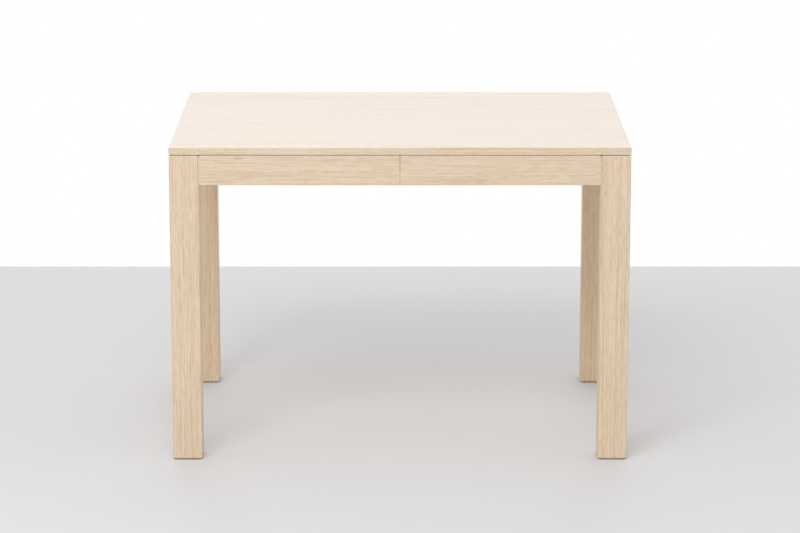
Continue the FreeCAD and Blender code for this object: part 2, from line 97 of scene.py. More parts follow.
def colour(name, description, default):
    """A colour, as linear light."""
    return FloatVectorProperty(name=name, description=description, default=default, size=3,
                               min=0.0, max=1.0, subtype="COLOR")


def share(name, description, default, low=0.0, high=1.0):
    """A plain number."""
    return FloatProperty(name=name, description=description, default=default, min=low, max=high)


class TableSizes(PropertyGroup):
    """Sizes of the details that the pieces get here."""
    top_round: length("Top's edge", "Rounding of the top's and the leaves' edges", 2.2 * MM)
    leg_round: length("Leg's edge", "Rounding of the legs' edges", 2.2 * MM)
    apron_round: length("Apron's edge", "Rounding of the aprons' edges", 1.8 * MM)
    shoulder_round: length("Apron's shoulder", "Rounding of an apron's upper corner at the leg", 4.5 * MM)
    beech_round: length("Beech edge", "Rounding of the beech pieces' edges", 1.2 * MM)
    tenon_thickness: length("Tenon", "Thickness of the aprons' tenons", 8 * MM)
    tenon_shoulder: length("Shoulder", "Step above and below a tenon", 8 * MM)
    mortise_gap: length("Mortise gap", "Room past the end of a tenon", 1 * MM)
    seam_dowel_radius: length("Seam dowel", "Radius of the dowels across the seam", 4 * MM)
    seam_bore_gap: length("Seam bore gap", "Room round a seam dowel in its bore", 0.3 * MM)
    leaf_dowel_radius: length("Leaf dowel", "Radius of the leaves' dowels", 5 * MM)
    leaf_bore_gap: length("Leaf bore gap", "Room round a leaf dowel in the top's bore", 0.15 * MM)
    screw_radius: length("Screw", "Radius of a wood screw", 2.5 * MM)
    screw_head: length("Screw head", "Radius of a wood screw's head", 4.5 * MM)
    stud_radius: length("Stud", "Radius of the studs that the hooks turn on", 2.5 * MM)
    stud_head: length("Stud head", "Radius of a stud's head", 4.5 * MM)
    peg_radius: length("Peg", "Radius of the peg that a hook rests on", 2 * MM)
    segments: IntProperty(name="Segments", description="Steps round an eased edge", default=4, min=1, max=8)
    sides: IntProperty(name="Sides", description="Sides of a turned piece", default=32, min=8, max=64)


class OakLook(PropertyGroup):
    """The white-oiled oak of the top, the legs, the aprons and the leaves, with a painted sheen whitening the
    top's upward face.
    """
    pale: colour("Pale", "Latewood between the streaks", (0.77, 0.635, 0.498))
    warm: colour("Warm", "Warm streaks along the grain", (0.645, 0.487, 0.305))
    pore: colour("Pore", "Open pores in the earlywood", (0.47, 0.285, 0.13))
    knot: colour("Knot", "Pin knots", (0.34, 0.17, 0.07))
    # The white oil is a painted sheen: white mixed into the top's upward face in place of its gloss under the
    # lamps
    painted_sheen: colour("White oil", "Colour of the oil that whitens the face", (0.86, 0.83, 0.80))
    top_painted_sheen: share("Oil on the top", "How much white oil shows on the top", 0.38)
    ring_width: length("Ring", "Width of a growth ring", 1.9 * MM, 0.5 * MM, 20 * MM)
    roughness: share("Roughness", "Roughness of the oiled face", 0.42)


class BeechLook(PropertyGroup):
    """The plain beech of the slides, the bearers, the runners, the blocks and the dowels."""
    pale: colour("Pale", "Ground colour", (0.66, 0.475, 0.31))
    warm: colour("Warm", "Pinkish streaks along the grain", (0.57, 0.37, 0.225))
    pore: colour("Fleck", "Short dark flecks", (0.36, 0.20, 0.11))
    ring_width: length("Ring", "Width of a growth ring", 2.2 * MM, 0.5 * MM, 20 * MM)
    roughness: share("Roughness", "Roughness of the planed face", 0.55)


class StageLook(PropertyGroup):
    """The floor, the lamps and the camera."""
    floor: colour("Floor", "Pale grey floor", (0.73, 0.73, 0.745))
    floor_back: length("Floor's end", "How far the floor runs behind the middle", 1.736, 0.5, 10.0)
    key_power: share("Key", "Power of the lamp high at the front left, in watts", 56.0, 0.0, 2000.0)
    fill_power: share("Fill", "Power of the large lamp at the front, in watts", 91.0, 0.0, 2000.0)
    back_power: share("Back", "Power of the lamp behind, in watts", 38.0, 0.0, 2000.0)
    room_light: share("Room", "Strength of the even light of the room", 0.66, 0.0, 4.0)
    lens: share("Lens", "Focal length in millimetres", 139.84, 20.0, 300.0)
    camera_back: length("Camera distance", "How far the camera stands in front of the middle", 7.661, 1.0, 20.0)
    camera_rise: length("Camera height", "Height of the camera above the floor", 2.116, 0.1, 5.0)
    camera_pitch: FloatProperty(name="Pitch", description="How far the camera looks down",
                                default=math.radians(12.69), subtype="ANGLE")


# Modelling tools

def only(*chosen):
    """Selects these objects, the first of them active, and nothing else."""
    bpy.ops.object.select_all(action="DESELECT")
    for obj in chosen:
        obj.select_set(True)
    if chosen:
        bpy.context.view_layer.objects.active = chosen[0]


def modify(obj, kind, **settings):
    """Adds a modifier with its settings and applies it."""
    step = obj.modifiers.new(kind, kind)
    for key, value in settings.items():
        setattr(step, key, value)
    only(obj)
    bpy.ops.object.modifier_apply(modifier=step.name)
    return obj


def settled(obj):
    """Puts a new object's place, turn and scale in its mesh."""
    only(obj)
    bpy.ops.object.transform_apply(location=True, rotation=True, scale=True)
    return obj


def removed(obj):
    """Deletes an object that isn't needed any more."""
    bpy.data.objects.remove(obj, do_unlink=True)


def block(low, high):
    """A block between two opposite corners."""
    low, high = Vector(low), Vector(high)
    only()
    bpy.ops.mesh.primitive_cube_add(size=1, location=(low + high) / 2)
    bpy.ops.transform.resize(value=high - low)
    return settled(bpy.context.object)


def edit(obj, kind="FACE", test=lambda part: True):
    """Opens a mesh for editing with the edges or faces selected that pass a test."""
    only(obj)
    bpy.ops.object.mode_set(mode="EDIT")
    bpy.ops.mesh.select_mode(type=kind)
    bpy.ops.mesh.select_all(action="DESELECT")
    shape = bmesh.from_edit_mesh(obj.data)
    for part in (shape.edges if kind == "EDGE" else shape.faces):
        part.select_set(bool(test(part)))
    bmesh.update_edit_mesh(obj.data)


def done():
    """Closes the mesh that is being edited."""
    bpy.ops.object.mode_set(mode="OBJECT")


def face_out():
    """Turns the faces outwards, and closes the mesh that is being edited."""
    bpy.ops.mesh.select_all(action="SELECT")
    bpy.ops.mesh.normals_make_consistent(inside=False)
    done()


def end_of(low, high, axis, way):
    """The middle of the end of a box that looks one way along an axis, 0 to 2."""
    place = (Vector(low) + Vector(high)) / 2
    place[axis] = high[axis] if way > 0 else low[axis]
    return place


def middle_of(edge):
    """The middle of an edge."""
    return (edge.verts[0].co + edge.verts[1].co) / 2


def runs_along(edge, axis):
    """Whether an edge runs along an axis, 0 to 2."""
    run = edge.verts[1].co - edge.verts[0].co
    return abs(run[axis]) > ALONG * run.length


def is_sharp(edge):
    """Whether the faces at an edge meet sharply enough for it to be eased."""
    return edge.calc_face_angle(0) > SHARP


def ease(obj, width, segments, test=lambda edge: True):
    """Rounds the edges that pass a test."""
    edit(obj, "EDGE", test)
    bpy.ops.mesh.bevel(offset=width, segments=segments, profile=0.5, affect="EDGES")
    done()
    return obj


def ease_all(obj, width, segments):
    """Rounds every sharp edge of a solid with a bevel."""
    return modify(obj, "BEVEL", width=width, segments=segments, limit_method="ANGLE", angle_limit=SHARP)


def combine(obj, others, operation="DIFFERENCE"):
    """Cuts other solids out of one, or joins them to it, and removes them."""
    for other in others:
        modify(obj, "BOOLEAN", operation=operation, solver="EXACT", object=other)
        removed(other)
    return obj


def turned(rings, sides, flute=1.0):
    """A solid turned about Z: a disc drawn up through rings, each given by its radius and height.

    A flute below 1 sets every third corner in.
    """
    radius, height = rings[0]
    only()
    bpy.ops.mesh.primitive_circle_add(vertices=sides, radius=radius, fill_type="NGON", location=(0, 0, height))
    made = settled(bpy.context.object)
    if flute < 1:
        for vertex in list(made.data.vertices)[::3]:
            vertex.co.x *= flute
            vertex.co.y *= flute
    edit(made)
    for next_radius, next_height in rings[1:]:
        bpy.ops.mesh.extrude_region_move(TRANSFORM_OT_translate={"value": (0, 0, next_height - height)})
        grow = next_radius / radius
        bpy.ops.transform.resize(value=(grow, grow, 1), center_override=(0, 0, next_height))
        radius, height = next_radius, next_height
    face_out()
    return made


def put(obj, place, direction):
    """Sets a shape made along +Z at a place, along a direction."""
    turn = Vector((0, 0, 1)).rotation_difference(Vector(direction)).to_matrix().to_4x4()
    obj.data.transform(Matrix.Translation(Vector(place)) @ turn)
    return obj


def rod(radius, place, direction, run, sides):
    """A plain round rod."""
    return put(turned([(radius, 0), (radius, run)], sides), place, direction)


def wedge(low, high, face_axis, face_side, across_axis, spread):
    """A block whose face on one side is spread along another axis, as a dovetail is."""
    made = block(low, high)
    edit(made, "FACE", lambda face: face.normal[face_axis] * face_side > FACING)
    grow = [1, 1, 1]
    grow[across_axis] = spread
    bpy.ops.transform.resize(value=grow, center_override=end_of(low, high, face_axis, face_side))
    done()
    return made


def copied(obj, matrix):
    """A copy with its own mesh, moved, turned or mirrored."""
    made = obj.copy()
    made.data = obj.data.copy()
    bpy.context.scene.collection.objects.link(made)
    made.data.transform(matrix)
    if matrix.determinant() < 0:
        edit(made)
        face_out()
    return made


def joined(parts):
    """Several objects as one."""
    only(*parts)
    if len(parts) > 1:
        bpy.ops.object.join()
    return parts[0]


def copy_of_node(node):
    """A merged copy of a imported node's mesh, with flat faces whole again."""
    made = bpy.data.objects.new("copy", frame["nodes"][node].data.copy())
    bpy.context.scene.collection.objects.link(made)
    made.data.materials.clear()
    edit(made)
    bpy.ops.mesh.remove_doubles(threshold=WELD)
    bpy.ops.mesh.dissolve_limited(angle_limit=FLAT)
    done()
    return made


def loose_parts(node):
    """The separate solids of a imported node, as merged copies."""
    edit(copy_of_node(node))
    bpy.ops.mesh.separate(type="LOOSE")
    done()
    return list(bpy.context.selected_objects)


def islands(node):
    """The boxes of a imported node's separate solids."""
    boxes = []
    for obj in loose_parts(node):
        points = [vertex.co for vertex in obj.data.vertices]
        boxes.append([Vector([pick(point[axis] for point in points) for axis in range(3)])
                      for pick in (min, max)])
        removed(obj)
    return sorted(boxes, key=lambda box: tuple(box[0]))


# Shader tools

class Signal:
    """An output of a material's nodes, so that shader maths reads as plain sums."""

    def __init__(self, finish, socket):
        self.finish = finish
        self.socket = socket

    def __add__(self, other):
        return self.finish.math("ADD", self, other)

    def __sub__(self, other):
        return self.finish.math("SUBTRACT", self, other)

    def __rsub__(self, other):
        return self.finish.math("SUBTRACT", other, self)

    def __mul__(self, other):
        return self.finish.math("MULTIPLY", self, other)

    def __truediv__(self, other):
        return self.finish.math("DIVIDE", self, other)

    def __rtruediv__(self, other):
        return self.finish.math("DIVIDE", other, self)

    __radd__ = __add__
    __rmul__ = __mul__

    def held(self):
        """The value kept between 0 and 1."""
        return self.finish.math("ADD", self, 0.0, clamp=True)

    def between(self, low, high):
        """0 below low, 1 above high, and smooth between."""
        return self.finish.node("ShaderNodeMapRange", {"interpolation_type": "SMOOTHSTEP"},
                                {"Value": self, "From Min": low, "From Max": high})


class Finish:
    """The nodes of a material, or of the room, under construction."""

    def __init__(self, owner):
        self.owner = owner
        owner.use_nodes = True
        self.tree = owner.node_tree
        self.tree.nodes.clear()

    def node(self, kind, settings=None, inputs=None, output=0):
        """Adds a node: its settings first, then the values and links of its sockets."""
        made = self.tree.nodes.new(kind)
        for key, value in (settings or {}).items():
            setattr(made, key, value)
        for key, value in (inputs or {}).items():
            if isinstance(value, Signal):
                self.tree.links.new(value.socket, made.inputs[key])
            else:
                made.inputs[key].default_value = value
        return Signal(self, made.outputs[output])

    def mix(self, factor, first, second, blend="MIX"):
        """A mix of two colours."""
        first, second = (value if isinstance(value, Signal) else (*value, 1.0) for value in (first, second))
        return self.node("ShaderNodeMix", {"data_type": "RGBA", "blend_type": blend},
                         {0: factor, 6: first, 7: second}, 2)

    def math(self, operation, *values, clamp=False):
        """A Math node."""
        settings = {"operation": operation, "use_clamp": clamp}
        return self.node("ShaderNodeMath", settings, dict(enumerate(values)))

    def vector(self, operation, *values, output=0):
        """A Vector Math node."""
        return self.node("ShaderNodeVectorMath", {"operation": operation}, dict(enumerate(values)), output)

    def along(self, vector, axis):
        """A vector's part along an axis."""
        return self.node("ShaderNodeSeparateXYZ", {}, {0: vector}, axis)

    def place(self, turn=(0, 0, 0)):
        """The piece's own coordinates, turned so that the grain runs along X."""
        at = self.node("ShaderNodeTexCoord", output="Object")
        return self.node("ShaderNodeMapping", {}, {"Vector": at, "Rotation": turn})

    def noise(self, at, along, across, seed, detail=2.0, roughness=0.5):
        """Cloudy noise, with so many features per metre along and across the grain."""
        shift = (seed * 3.17, seed * 1.73, seed * 2.41)
        moved = self.vector("MULTIPLY_ADD", at, (along, across, across), shift)
        return self.node("ShaderNodeTexNoise", {}, {"Vector": moved, "Scale": 1.0, "Detail": detail,
                                                    "Roughness": roughness}, "Fac")

    def bump(self, height, distance, strength):
        """A normal from a height."""
        return self.node("ShaderNodeBump", {}, {"Height": height, "Distance": distance, "Strength": strength})

    def close(self, kind, surface):
        """Adds the output node, which has no outputs of its own."""
        out = self.tree.nodes.new(kind)
        self.tree.links.new(surface.socket, out.inputs["Surface"])
        return self.owner

    def shade(self, **sockets):
        """The shader and the material's output; a socket's underscores stand for spaces."""
        surface = self.node("ShaderNodeBsdfPrincipled", {},
                            {key.replace("_", " "): value for key, value in sockets.items()})
        return self.close("ShaderNodeOutputMaterial", surface)


def new_finish(name):
    """A new material, ready for its nodes."""
    return Finish(bpy.data.materials.new(name))


# The turn that brings the grain to X from each axis that it may run along
GRAIN_TURNS = {"X": (0, 0, 0), "Y": (0, 0, -math.pi / 2), "Z": (0, math.pi / 2, 0)}

# The wood's noises: features per metre along and across the grain, step of the seed, detail and roughness
WOOD_NOISES = (
    (1.6, 6.0, 0, (2.0, 0.5)),       # wander: the rings bend over the whole board
    (2.2, 40.0, 11, (1.0, 0.5)),     # sway: they bend over a few centimetres
    (1.3, 24.0, 23, (3.0, 0.55)),    # broad streaks
    (5.0, 400.0, 31, (1.0, 0.5)),    # medium streaks
    (32.0, 620.0, 39, (1.0, 0.5)),   # fine streaks
    (70.0, 1400.0, 47, (2.0, 0.6)),  # fibres
    (1.6, 190.0, 71, (1.0, 0.5)),    # lines: single dark streaks
)
OAK_FLECKS, BEECH_FLECKS, FLECK_STEP = (65.0, 1900.0), (260.0, 1700.0), 59

# How far the rings bend, in metres, and where in a ring the earlywood rises and falls
WANDER, SWAY, EARLY_RISE, EARLY_FALL = 0.02, 0.003, (0.35, 0.9), (0.92, 1.0)
# Where noise becomes a fleck or a line, and a face end grain or an upward face that takes the painted sheen
FLECK_EDGE, LINE_EDGE, END_EDGE, SHEEN_EDGE = (0.55, 0.66), (0.56, 0.72), (0.6, 0.95), (0.4, 0.95)
# The least earlywood in a ring, the least pores outside it, and how dark pores and end grain are
EARLY_LEAST, PORE_LEAST, PORE_DARK, END_DARK = 0.25, 0.2, 0.55, 0.35
# The middle tone, and how much the streaks, rings and fibres change it
TONE, BROAD, MEDIUM, FINE, RINGS, FIBRES = 0.44, 0.5, 1.8, 2.0, 0.8, 1.4

# How the colour of some boards differs, the rear legs' tints partly painted light that makes them lighter than
# their shade, and the places and radii of pin knots
TINTS_AND_PAINTED_LIGHT = {"left_front_leg": (1.0, 0.98, 0.95), "right_front_leg": (1.0, 0.99, 0.96),
         "left_rear_leg": (1.07, 1.01, 0.935), "right_rear_leg": (1.05, 0.985, 0.905)}
KNOTS = {"left_front_apron": (((-0.3875, -0.4, 0.7435), 1.6 * MM), ((-0.3775, -0.4, 0.744), 1.2 * MM))}
KNOT_STRETCH = (0.6, 1.0, 1.0)      # a knot is longer along the grain


def wood(kind, look, flecks, node, grain, seed, streaks=1.0, bold=0.22, painted_sheen_share=0.0):
    """Wood as a solid pattern: rings, streaks, fibres and pores that run through every face of the piece.

    Streaks and bold are how strong its streaks and lines are, and the last is how much painted sheen whitens
    the upward faces.
    """
    finish = new_finish(kind + node)
    dice = random.Random(seed)
    # A board's tint; on the rear legs it is partly painted light that lightens them
    tint_and_light = TINTS_AND_PAINTED_LIGHT.get(node, (1.0, 1.0, 1.0))
    pale, warm = ([part * by for part, by in zip(tone, tint_and_light)] for tone in (look.pale, look.warm))
    at = finish.place(GRAIN_TURNS[grain])
    across, through = (finish.along(at, axis) for axis in "YZ")
    lean = math.radians(dice.uniform(38, 58))
    shift = dice.uniform(1, 9)
    wander, sway, broad, medium, fine, fibre, lines = (
        finish.noise(at, *scales, shift + step, *rest) for *scales, step, rest in WOOD_NOISES)
    level = across * math.cos(lean) + through * math.sin(lean)
    ring = (level + (wander - 0.5) * WANDER + (sway - 0.5) * SWAY) / look.ring_width
    phase = finish.math("FRACT", ring)
    number = finish.math("FLOOR", ring)
    of_ring = finish.node("ShaderNodeTexWhiteNoise", {"noise_dimensions": "1D"}, {"W": number})
    early = phase.between(*EARLY_RISE) * (1 - phase.between(*EARLY_FALL))
    early = early * (EARLY_LEAST + (1 - EARLY_LEAST) * of_ring)
    dashes = finish.noise(at, *flecks, shift + FLECK_STEP, 1.0).between(*FLECK_EDGE)
    pores = dashes * (PORE_LEAST + (1 - PORE_LEAST) * early)
    streak = (broad - 0.5) * BROAD + (medium - 0.5) * MEDIUM + (fine - 0.5) * FINE + (early - 0.3) * RINGS
    tone = TONE + streak * streaks + (fibre - 0.5) * FIBRES
    base = finish.mix(tone.held(), pale, warm)
    base = finish.mix(lines.between(*LINE_EDGE) * bold, base, look.pore)
    base = finish.mix(pores * PORE_DARK, base, look.pore)
    normal = finish.node("ShaderNodeTexCoord", output="Normal")
    facing = finish.math("ABSOLUTE", finish.along(normal, grain))
    base = finish.mix(facing.between(*END_EDGE) * END_DARK, base, look.pore, "MULTIPLY")
    for place, radius in KNOTS.get(node, ()):
        here = finish.node("ShaderNodeTexCoord", output="Object")
        drawn = finish.vector("MULTIPLY", finish.vector("SUBTRACT", here, place), KNOT_STRETCH)
        away = finish.vector("LENGTH", drawn, output="Value")
        base = finish.mix((1 - away.between(0, radius * 3.5)) * 0.5, base, look.pore)
        base = finish.mix((1 - away.between(radius * 0.3, radius)) * 0.7, base, look.knot)
    # Painted sheen: white mixed into upward faces, standing in for the top's gloss under the lamps
    if painted_sheen_share:
        base = finish.mix(finish.along(normal, "Z").between(*SHEEN_EDGE) * painted_sheen_share, base, look.painted_sheen)
    height = 1 - pores * 0.8 - early * 0.25 - fibre * 0.25
    return finish.shade(Base_Color=base, Roughness=look.roughness + pores * 0.2 + (medium - 0.5) * 0.12,
                        Normal=finish.bump(height, 0.12 * MM, 0.5))


def oak(node, *board):
    """The oak of one piece."""
    return wood("oak_", bpy.context.scene.table_oak, OAK_FLECKS, node, *board)


def beech(node, grain, seed):
    """The beech of one piece, plainer than the oak and with short flecks."""
    return wood("beech_", bpy.context.scene.table_beech, BEECH_FLECKS, node, grain, seed, 0.6, 0.1)


def zinc(node):
    """Zinc plate on steel."""
    finish = new_finish("zinc_" + node)
    at = finish.place()
    cloud = finish.noise(at, 160.0, 160.0, 3.0, 3.0)
    grit = finish.noise(at, 2200.0, 2200.0, 7.0)
    base = finish.mix(cloud, (0.56, 0.575, 0.60), (0.70, 0.69, 0.66))
    return finish.shade(Base_Color=base, Metallic=1.0, Roughness=0.26 + cloud * 0.18 + grit * 0.06,
                        Normal=finish.bump(grit, 0.02 * MM, 0.3))


def nylon(node):
    """Moulded nylon, rubbed by the top."""
    finish = new_finish("nylon_" + node)
    at = finish.place()
    cloud = finish.noise(at, 90.0, 90.0, 5.0)
    grit = finish.noise(at, 3000.0, 3000.0, 9.0)
    base = finish.mix(cloud, (0.84, 0.82, 0.76), (0.76, 0.73, 0.66))
    return finish.shade(Base_Color=base, Roughness=0.38 + cloud * 0.2,
                        Normal=finish.bump(grit, 0.02 * MM, 0.4))


def felt(node):
    """Pressed felt."""
    finish = new_finish("felt_" + node)
    at = finish.place()
    hair = finish.noise(at, 900.0, 900.0, 2.0, 4.0, 0.7)
    tuft = finish.noise(at, 240.0, 240.0, 6.0)
    base = finish.mix(hair.between(0.35, 0.65), (0.33, 0.28, 0.235), (0.47, 0.41, 0.35))
    return finish.shade(Base_Color=base, Roughness=0.9 + hair * 0.08, Sheen_Weight=0.3,
                        Normal=finish.bump(hair + tuft * 0.6, 0.25 * MM, 0.8))


FINISHES = {"oak": oak, "beech": beech, "steel": zinc, "nylon": nylon, "felt": felt}


# Finishing a piece

def dress(obj, node, slot, *board):
    """Shades a finished piece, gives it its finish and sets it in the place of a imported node.

    A wooden piece's board is its grain's axis and its seed, and then what else wood() takes.
    """
    only(obj)
    bpy.ops.object.shade_smooth_by_angle(angle=SMOOTH)
    modify(obj, "WEIGHTED_NORMAL", keep_sharp=True)
    obj.data.materials.clear()
    obj.data.materials.append(FINISHES[slot](node, *board))
    obj.name = node + "_piece"
    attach(obj, BODY_OF[node])
    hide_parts(node)


def dress_pair(obj, node, slot, *boards):
    """Dresses a piece on the left or at the front, and its copy on the other side, each in its own board."""
    far = copied(obj, HALF_TURN if node.startswith("left") else FRONT_TO_REAR)
    far_node = "_".join(OPPOSITE.get(word, word) for word in node.split("_"))
    for piece, name, board in zip((obj, far), (node, far_node), boards or ((), ())):
        dress(piece, name, slot, *board)


def dress_copy(node, width, segments, slot, *board):
    """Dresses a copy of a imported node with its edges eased."""
    dress(ease_all(copy_of_node(node), width, segments), node, slot, *board)


# Pieces that several operators need

RIM = 0.2 * MM              # height of the rim of a screw's or a stud's head
SCREW_TURN = 0.7            # how much further each screw of a row is turned, in radians


def screw(sizes, run):
    """A countersunk wood screw along +Z from the flat of its head, with a cross recess and a ridged thread."""
    radius, head = sizes.screw_radius, sizes.screw_head
    core, point, neck, step, pitch, tip = 0.78 * radius, 0.2 * radius, 3 * MM, 0.4 * MM, 1.8 * MM, 5 * MM
    rings = [(head - 1.25 * RIM, 0), (head, RIM), (radius, head - radius + RIM)]
    height = max(rings[-1][1] + neck, 0.4 * run)
    rings += [(radius, height), (core, height + step)]
    height += step
    while height + pitch < run - tip - NEAR:
        rings += [(core, height + 0.35 * pitch), (radius, height + 0.6 * pitch), (core, height + pitch)]
        height += pitch
    rings += [(core, run - tip), (point, run)]
    half_length, half_width, depth, taper = 2.4 * MM, 0.55 * MM, 2 * MM, 0.4
    arms = []
    for turn in (0, math.pi / 2):
        arm = wedge((-half_length, -half_width, -PAST), (half_length, half_width, depth), 2, 1, 0, taper)
        arm.data.transform(Matrix.Rotation(turn, 4, "Z"))
        arms.append(arm)
    return combine(turned(rings, SCREW_SIDES), [combine(arms[0], arms[1:], "UNION")])


def screws(sizes, places, direction, run):
    """A row of like screws as one object."""
    first = screw(sizes, run)
    parts = [put(copied(first, Matrix.Rotation(SCREW_TURN * turn, 4, "Z")), place, direction)
             for turn, place in enumerate(places)]
    removed(first)
    return joined(parts)


@functools.cache
def screw_rows(node):
    """The starts, direction and length of each row of a node's screws, which point up or outwards."""
    rows = {}
    for low, high in islands(node):
        size = high - low
        axis = max(range(3), key=lambda which: size[which])
        way = -1 if axis != 2 and low.x < 0 else 1
        direction = tuple(way * (which == axis) for which in range(3))
        rows.setdefault(direction, []).append((end_of(low, high, axis, -way), size[axis]))
    return [([start for start, _ in row], direction, row[0][1]) for direction, row in sorted(rows.items())]


def pilots(sizes, nodes, low, high):
    """Cutters for the pilot holes and countersinks of those screws that pass through a piece's box."""
    radius, head = sizes.screw_radius, sizes.screw_head
    checks = 10
    found = []
    for node in nodes:
        for places, direction, run in screw_rows(node):
            rings = [(head, -PAST), (head, 0), (radius, head - radius), (radius, run)]
            for place in places:
                tip = place + Vector(direction) * run
                points = [place.lerp(tip, check / checks) for check in range(checks + 1)]
                if any(all(low[axis] < point[axis] < high[axis] for axis in range(3)) for point in points):
                    found.append(put(turned(rings, SCREW_SIDES), place, direction))
    return found


def dowel(radius, place, direction, run):
    """A fluted beech dowel with rounded tips."""
    tip, flute = 0.3 * radius, 0.93
    rings = [(radius - tip, 0), (radius - 0.3 * tip, 0.4 * tip), (radius, tip)]
    rings += [(part, run - height) for part, height in reversed(rings)]
    return put(turned(rings, DOWEL_SIDES, flute), place, direction)


# A stud's dome, as shares of the head's radius and height, that height, and the share left at the shank's end
STUD_DOME = ((1.0, 0.35), (0.94, 0.6), (0.76, 0.84), (0.45, 0.97), (0.12, 1.0))
STUD_RISE, STUD_END = 2 * MM, 0.8


def stud(sizes, neck, bite):
    """A headed stud along +Z; its shank is in the wood and its head is domed."""
    radius, head = sizes.stud_radius, sizes.stud_head
    rings = [(STUD_END * radius, -bite), (radius, 2 * RIM - bite), (radius, neck), (head - RIM, neck),
             (head, neck + RIM)]
    rings += [(across * head, neck + up * STUD_RISE) for across, up in STUD_DOME]
    return turned(rings, sizes.sides)


def stud_bore(node, radius, way):
    """A cutter along Y, one way or the other, for the whole length of a stud or peg."""
    low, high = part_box(node)
    return rod(radius, end_of(low, high, 1, -way), (0, way, 0), high.y - low.y, BORE_SIDES)


def seats_in(*boxes):
    """For each box, cutters for the seats of the left frame's slide strips in it, or within 10 mm of it."""
    grown = 10 * MM
    found = [[] for _ in boxes]
    for seat in loose_parts("left_slide_strips"):
        corners = [Vector(corner) for corner in seat.bound_box]
        middle = sum(corners, Vector()) / len(corners)
        near = [seats for seats, (low, high) in zip(found, boxes)
                if all(low[axis] - grown < middle[axis] < high[axis] + grown for axis in range(3))]
        if near:
            near[0].append(seat)
        else:
            removed(seat)
    return found


# The operators, one for each piece or group of like pieces

class TablePiece:
    """What every operator of this table shares."""
    bl_options = {"REGISTER", "UNDO"}

    def execute(self, context):
        self.make(context.scene.table_sizes)
        return {"FINISHED"}


class TABLE_OT_top(TablePiece, Operator):
    """Makes the one-piece top with rounded edges and the bores in its ends"""
    bl_idname = "table.top"
    bl_label = "Top"

    def make(self, sizes):
        made = ease(block(TOP_LOW, TOP_HIGH), sizes.top_round, sizes.segments)
        cutters = pilots(sizes, ("centre_bar_screws", "leaf_runner_screws"), TOP_LOW, TOP_HIGH)
        radius = sizes.leaf_dowel_radius + sizes.leaf_bore_gap
        level = (TOP_LOW.z + TOP_HIGH.z) / 2
        for low, high in islands("upper_leaf_dowels"):
            across = (low.x + high.x) / 2
            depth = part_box("upper_leaf")[0].y - low.y + sizes.leaf_bore_gap
            for side in (-1, 1):
                start = (side * (TOP_HIGH.x - depth), across, level)
                cutters.append(rod(radius, start, (side, 0, 0), 2 * depth, sizes.sides))
        combine(made, cutters)
        # How much painted sheen whitens the top's upward face
        painted_sheen_share = bpy.context.scene.table_oak.top_painted_sheen
        dress(made, "tabletop", "oak", "X", 11, 1.7, 0.6, painted_sheen_share)


class TABLE_OT_legs(TablePiece, Operator):
    """Makes the four square legs with rounded edges and their mortises"""
    bl_idname = "table.legs"
    bl_label = "Legs"

    def make(self, sizes):
        made = ease(block(LEG_LOW, LEG_HIGH), sizes.leg_round, sizes.segments)
        gap = sizes.mortise_gap
        half = sizes.tenon_thickness / 2
        low_z, high_z = APRON_LOW.z + sizes.tenon_shoulder, APRON_HIGH.z - sizes.tenon_shoulder
        end = (END_LOW.x + END_HIGH.x) / 2
        combine(made, [
            block((APRON_LOW.x - gap, APRON_Y - half, low_z), (LEG_HIGH.x + gap, APRON_Y + half, high_z)),
            block((end - half, END_LOW.y - gap, low_z), (end + half, LEG_HIGH.y + gap, high_z)),
        ])
        rear = copied(made, FRONT_TO_REAR)
        for seed, (obj, corner) in enumerate(zip((made, rear), CORNERS)):
            dress_pair(obj, corner + "_leg", "oak", ("Z", 21 + seed, 1.65), ("Z", 31 + seed, 1.65))


class TABLE_OT_half_aprons(TablePiece, Operator):
    """Makes the four half aprons with their tenons, strip seats, dowel bores and stud bores"""
    bl_idname = "table.half_aprons"
    bl_label = "Half aprons"

    def body(self, sizes):
        """The left front half apron without bores."""
        low = Vector((LEG_HIGH.x, APRON_LOW.y, APRON_LOW.z))
        made = block(low, APRON_HIGH)
        ease(made, sizes.shoulder_round, 3, lambda edge: runs_along(edge, 1)
             and middle_of(edge).x < low.x + NEAR and middle_of(edge).z > APRON_HIGH.z - NEAR)
        ease(made, sizes.apron_round, sizes.segments, lambda edge: is_sharp(edge)
             and any(vertex.co.x > low.x + NEAR for vertex in edge.verts))
        half = sizes.tenon_thickness / 2
        tenon = block((APRON_LOW.x, APRON_Y - half, APRON_LOW.z + sizes.tenon_shoulder),
                      (low.x + half, APRON_Y + half, APRON_HIGH.z - sizes.tenon_shoulder))
        return combine(made, [tenon], "UNION")

    def make(self, sizes):
        dowels = islands("left_seam_dowels")
        heights = [(low.z + high.z) / 2 for low, high in dowels]
        seam, over, radius = APRON_HIGH.x, 5 * MM, sizes.seam_dowel_radius
        reach, bite = dowels[0][1].x - seam, seam - dowels[0][0].x
        front = self.body(sizes)
        rear = copied(front, FRONT_TO_REAR)
        cutters = [rod(radius, (seam - bite, APRON_Y, z), (1, 0, 0), bite + over, BORE_SIDES) for z in heights]
        cutters.append(stud_bore("left_hook_stud", sizes.stud_radius, 1))
        cutters.append(stud_bore("left_hook_peg", sizes.peg_radius, 1))
        radius += sizes.seam_bore_gap
        run = reach + over + sizes.mortise_gap
        rear_cutters = [rod(radius, (seam + over, -APRON_Y, z), (-1, 0, 0), run, BORE_SIDES) for z in heights]
        rear_cutters.append(stud_bore("left_catch_stud", sizes.stud_radius, -1))
        seats, rear_seats = seats_in((APRON_LOW, APRON_HIGH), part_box("left_rear_apron"))
        combine(front, cutters + seats)
        combine(rear, rear_cutters + rear_seats)
        for seed, (obj, corner) in enumerate(zip((front, rear), CORNERS)):
            dress_pair(obj, corner + "_apron", "oak", ("X", 41 + seed, 1.15), ("X", 51 + seed, 1.35))


